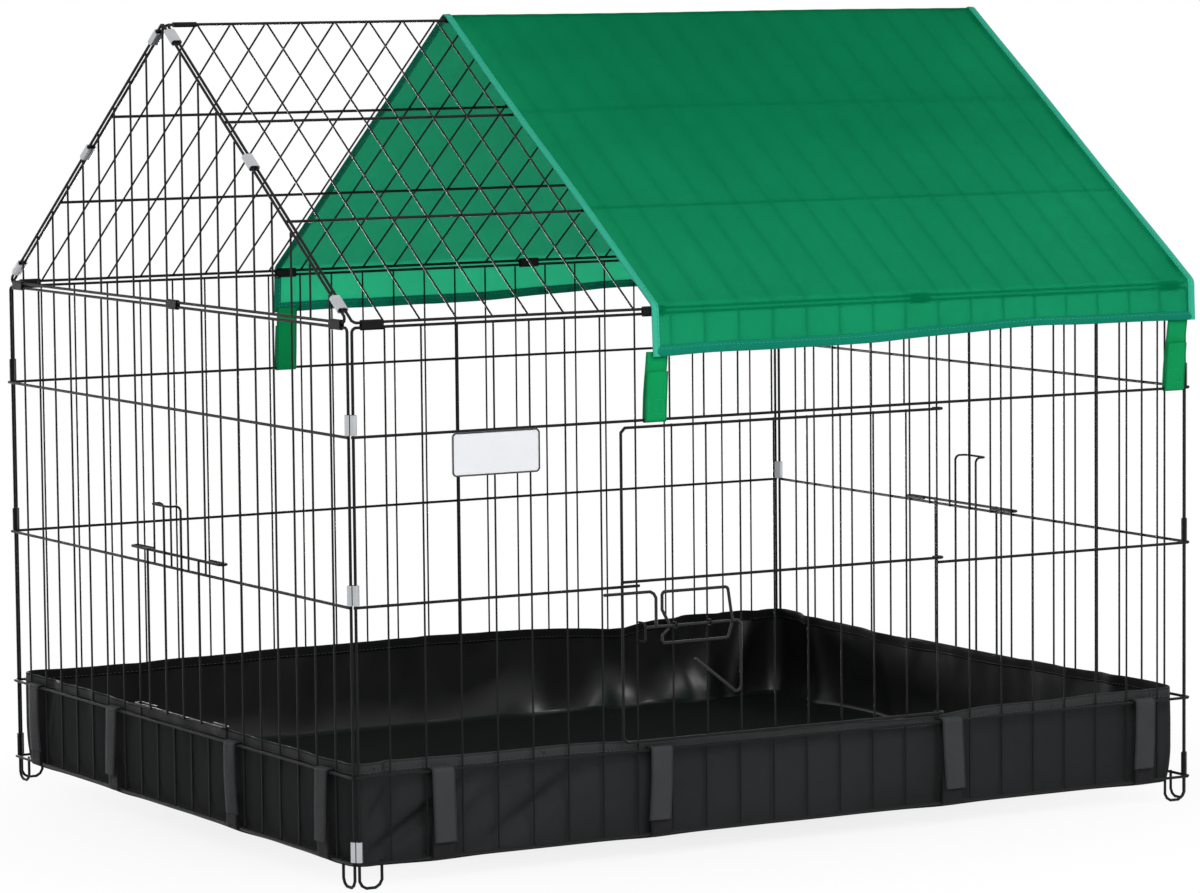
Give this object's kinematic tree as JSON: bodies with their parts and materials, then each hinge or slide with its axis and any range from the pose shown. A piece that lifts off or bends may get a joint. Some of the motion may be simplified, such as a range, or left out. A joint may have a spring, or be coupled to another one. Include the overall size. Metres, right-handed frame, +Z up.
{
  "type": "small animal cage",
  "caption": "House-shaped wire cage for small animals with a front door and slide bolt, lift doors at the ends, a fabric tray strapped to the walls and a roof cover.",
  "frame": {"origin": "on the floor, midway between the four corners of the walls", "axes": "+X to the right along the front wall, +Y from the front wall to the back wall, +Z up"},
  "size_m": [1.0448, 0.8497, 0.8461],
  "materials": {
    "black_wire": "semi-gloss black powder coat on steel wire",
    "zinc_clip": "satin zinc plating",
    "black_sleeve": "black powder coat on bent sheet",
    "plate_face": "smooth white plastic, bare",
    "plate_border": "smooth black edge",
    "tray_fabric": "coated black woven fabric",
    "black_webbing": "black woven tape",
    "cover_fabric": "thin green coated fabric, slightly translucent",
    "green_webbing": "bright green woven tape"
  },
  "bodies": {
    "cage": {"back_eave_hinges": "black_sleeve", "back_left_corner_hinges": "black_sleeve", "back_left_cover_strap": "green_webbing", "back_left_rake_clips": "zinc_clip", "back_right_corner_clips": "zinc_clip", "back_right_cover_strap": "green_webbing", "back_right_rake_clips": "zinc_clip", "back_roof_frame": "black_wire", "back_roof_wires": "black_wire", "back_tray_flaps": "black_webbing", "back_tray_tabs": "black_webbing", "back_wall_frame": "black_wire", "back_wall_wires": "black_wire", "bolt_keeper": "black_wire", "cover": "cover_fabric", "front_eave_hinges": "black_sleeve", "front_left_corner_clips": "zinc_clip", "front_left_cover_strap": "green_webbing", "front_left_rake_clips": "zinc_clip", "front_right_corner_hinges": "black_sleeve", "front_right_cover_strap": "green_webbing", "front_right_rake_clips": "zinc_clip", "front_roof_frame": "black_wire", "front_roof_wires": "black_wire", "front_tray_flaps": "black_webbing", "front_tray_tabs": "black_webbing", "front_wall_frame": "black_wire", "front_wall_wires": "black_wire", "left_gable_frame": "black_wire", "left_gable_hinges": "black_sleeve", "left_gable_wires": "black_wire", "left_tray_flaps": "black_webbing", "left_tray_tabs": "black_webbing", "left_wall_frame": "black_wire", "left_wall_wires": "black_wire", "name_plate": "plate_face", "name_plate_border": "plate_border", "ridge_hinges": "black_sleeve", "right_gable_frame": "black_wire", "right_gable_hinges": "black_sleeve", "right_gable_wires": "black_wire", "right_tray_flaps": "black_webbing", "right_tray_tabs": "black_webbing", "right_wall_frame": "black_wire", "right_wall_wires": "black_wire", "tray": "tray_fabric"},
    "front_door": {"front_door_frame": "black_wire", "front_door_rod": "black_wire", "front_door_wires": "black_wire", "bolt_guides": "black_wire"},
    "front_bolt": {"front_bolt": "black_wire", "front_bolt_handle": "black_wire"},
    "left_lift_door": {"left_lift_door": "black_wire"},
    "right_lift_door": {"right_lift_door": "black_wire"}
  },
  "joints": [
    {"name": "front_door_hinge", "type": "hinge", "parent": "cage", "child": "front_door", "pos_m": [0.18, -0.41405, 0.2793], "axis": [0, 0, 1], "range_deg": [0, 160]},
    {"name": "front_bolt_slide", "type": "slide", "parent": "front_door", "child": "front_bolt", "axis": [1, 0, 0], "range_m": [-0.012, 0]},
    {"name": "left_lift_door_slide", "type": "slide", "parent": "cage", "child": "left_lift_door", "axis": [0, 0, 1], "range_m": [0, 0.145]},
    {"name": "right_lift_door_slide", "type": "slide", "parent": "cage", "child": "right_lift_door", "axis": [0, 0, 1], "range_m": [0, 0.155]}
  ]
}
